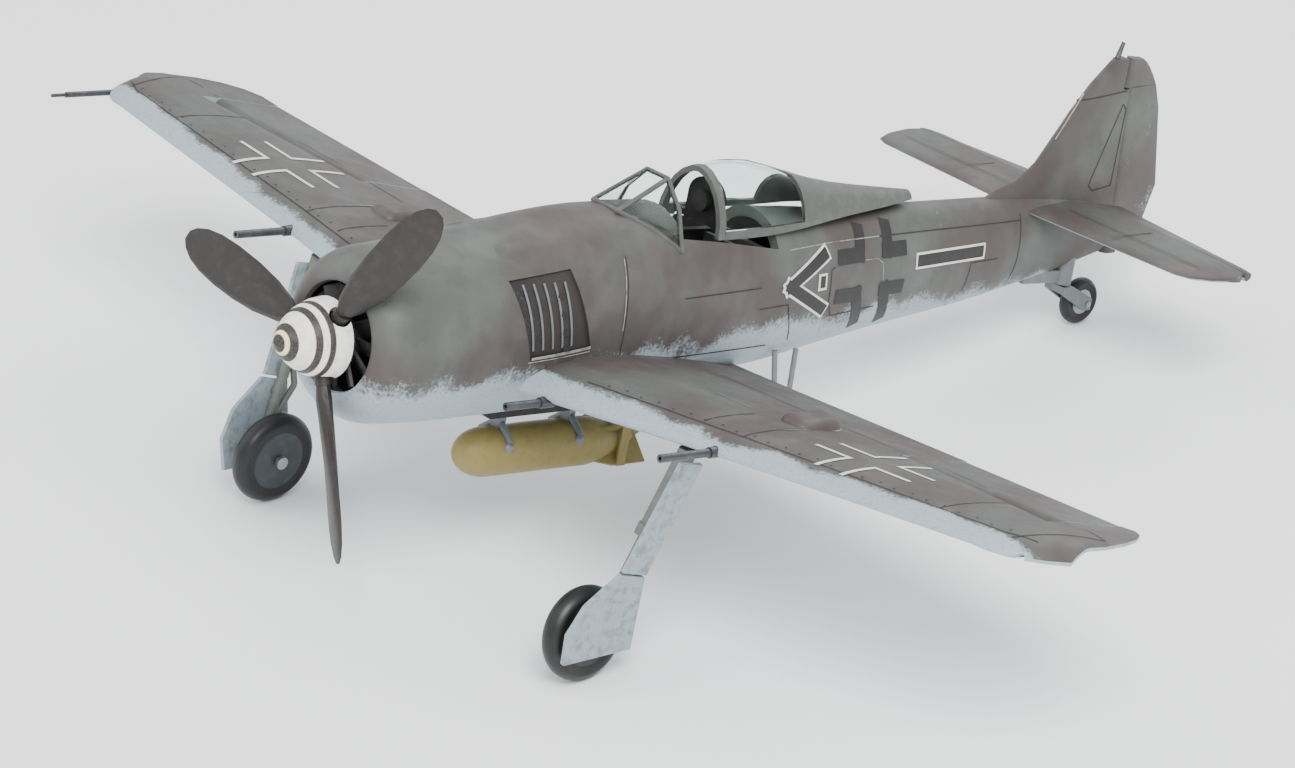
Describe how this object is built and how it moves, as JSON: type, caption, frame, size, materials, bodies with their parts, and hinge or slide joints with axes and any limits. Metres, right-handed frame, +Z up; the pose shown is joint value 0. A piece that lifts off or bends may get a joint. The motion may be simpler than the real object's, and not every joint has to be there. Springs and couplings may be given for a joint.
{
  "type": "propeller plane model",
  "caption": "Display model of a single-engine propeller fighter on its wheels, hood part open, camouflage paint, spiral spinner and a belly bomb",
  "frame": {"origin": "centre of the footprint, on the surface that the three tyres stand on", "axes": "+X to the model's port side, +Y towards its tail, +Z up"},
  "size_m": [0.1432, 0.1232, 0.0487],
  "materials": {
    "camouflage": "matt sprayed paint, soft mottle of grey-green over brown-grey, light underside",
    "underside_blue": "matt light blue-grey paint with speckled overspray",
    "soot_black": "matt black",
    "blade_black": "matt brown-black",
    "spinner_white": "matt white with dark spiral bands",
    "cockpit_green": "matt dark grey-green",
    "steel": "metallic grey paint",
    "clear": "clear moulding",
    "tyre_rubber": "satin black",
    "ochre": "matt khaki ochre"
  },
  "bodies": {
    "airframe": {"fuselage_port": "camouflage", "fuselage_starboard": "camouflage", "engine_cowl": "camouflage", "cowl_ring": "camouflage", "gun_cover": "camouflage", "exhaust_port": "soot_black", "exhaust_starboard": "soot_black", "engine_front": "steel", "cockpit_tub": "cockpit_green", "seat": "cockpit_green", "instrument_panel": "soot_black", "gunsight": "soot_black", "control_stick": "soot_black", "windscreen_frame": "cockpit_green", "windscreen_glass": "clear", "wing_lower": "underside_blue", "wing_upper_port": "camouflage", "wing_upper_starboard": "camouflage", "root_guns": "steel", "wing_guns": "steel", "wing_blisters": "camouflage", "pitot_tube": "steel", "tailplanes": "camouflage", "aerial_mast": "steel", "boarding_step": "steel", "gear_leg_port": "cockpit_green", "gear_leg_starboard": "cockpit_green", "gear_door_port": "underside_blue", "gear_door_starboard": "underside_blue", "axle_port": "steel", "axle_starboard": "steel", "tail_leg": "steel", "bomb_rack": "soot_black", "sway_braces": "steel", "bomb": "ochre", "bomb_fins": "ochre"},
    "propeller": {"spinner": "spinner_white", "blades": "blade_black", "prop_hub": "soot_black", "cooling_fan": "soot_black", "prop_shaft": "steel", "shaft_retainer": "steel"},
    "hood": {"hood_frame": "cockpit_green", "hood_glass": "clear", "hood_fairing": "cockpit_green", "head_armour": "soot_black"},
    "rudder": {"rudder": "camouflage"},
    "elevator_port": {"elevator_port": "camouflage"},
    "elevator_starboard": {"elevator_starboard": "camouflage"},
    "aileron_port": {"aileron_port": "camouflage"},
    "aileron_starboard": {"aileron_starboard": "camouflage"},
    "main_wheel_port": {"tyre_port": "tyre_rubber", "wheel_hub_port": "cockpit_green"},
    "main_wheel_starboard": {"tyre_starboard": "tyre_rubber", "wheel_hub_starboard": "cockpit_green"},
    "tail_fork": {"tail_fork": "steel", "tail_axle": "steel"},
    "tail_wheel": {"tail_tyre": "tyre_rubber", "tail_hub": "steel"}
  },
  "joints": [
    {"name": "propeller_spin", "type": "hinge", "parent": "airframe", "child": "propeller", "pos_m": [0, -0.056, 0.03158], "axis": [0, 0.9738, -0.2273], "continuous": true},
    {"name": "hood_slide", "type": "slide", "parent": "airframe", "child": "hood", "axis": [0, -0.9738, 0.2273], "range_m": [0, 0.005]},
    {"name": "rudder_hinge", "type": "hinge", "parent": "airframe", "child": "rudder", "pos_m": [0, 0.0556, 0.0198], "axis": [0, 0.1489, 0.9888], "range_deg": [-28, 28]},
    {"name": "elevator_port_hinge", "type": "hinge", "parent": "airframe", "child": "elevator_port", "pos_m": [0.012, 0.04967, 0.01462], "axis": [1, 0, 0], "range_deg": [-25, 25]},
    {"name": "elevator_starboard_hinge", "type": "hinge", "parent": "airframe", "child": "elevator_starboard", "pos_m": [-0.012, 0.04967, 0.01462], "axis": [1, 0, 0], "range_deg": [-25, 25]},
    {"name": "aileron_port_hinge", "type": "hinge", "parent": "airframe", "child": "aileron_port", "pos_m": [0.0417, -0.0168, 0.02111], "axis": [0.9881, -0.0902, 0.1246], "range_deg": [-17, 17]},
    {"name": "aileron_starboard_hinge", "type": "hinge", "parent": "airframe", "child": "aileron_starboard", "pos_m": [-0.0417, -0.0168, 0.02111], "axis": [0.9881, 0.0902, -0.1246], "range_deg": [-17, 17]},
    {"name": "main_wheel_port_spin", "type": "hinge", "parent": "airframe", "child": "main_wheel_port", "pos_m": [0.0243, -0.04329, 0.00484], "axis": [0.9976, 0.0159, 0.0679], "continuous": true},
    {"name": "main_wheel_starboard_spin", "type": "hinge", "parent": "airframe", "child": "main_wheel_starboard", "pos_m": [-0.0243, -0.04329, 0.00484], "axis": [0.9976, -0.0159, -0.0679], "continuous": true},
    {"name": "tail_wheel_castor", "type": "hinge", "parent": "airframe", "child": "tail_fork", "pos_m": [0, 0.04744, 0.00641], "axis": [0, 0.2273, 0.9738], "range_deg": [-35, 35]},
    {"name": "tail_wheel_spin", "type": "hinge", "parent": "tail_fork", "child": "tail_wheel", "pos_m": [0, 0.05026, 0.00264], "axis": [1, 0, 0], "continuous": true}
  ],
  "couplings": [
    {"joint": "elevator_starboard_hinge", "follows": "elevator_port_hinge", "ratio": 1},
    {"joint": "aileron_starboard_hinge", "follows": "aileron_port_hinge", "ratio": 1}
  ]
}
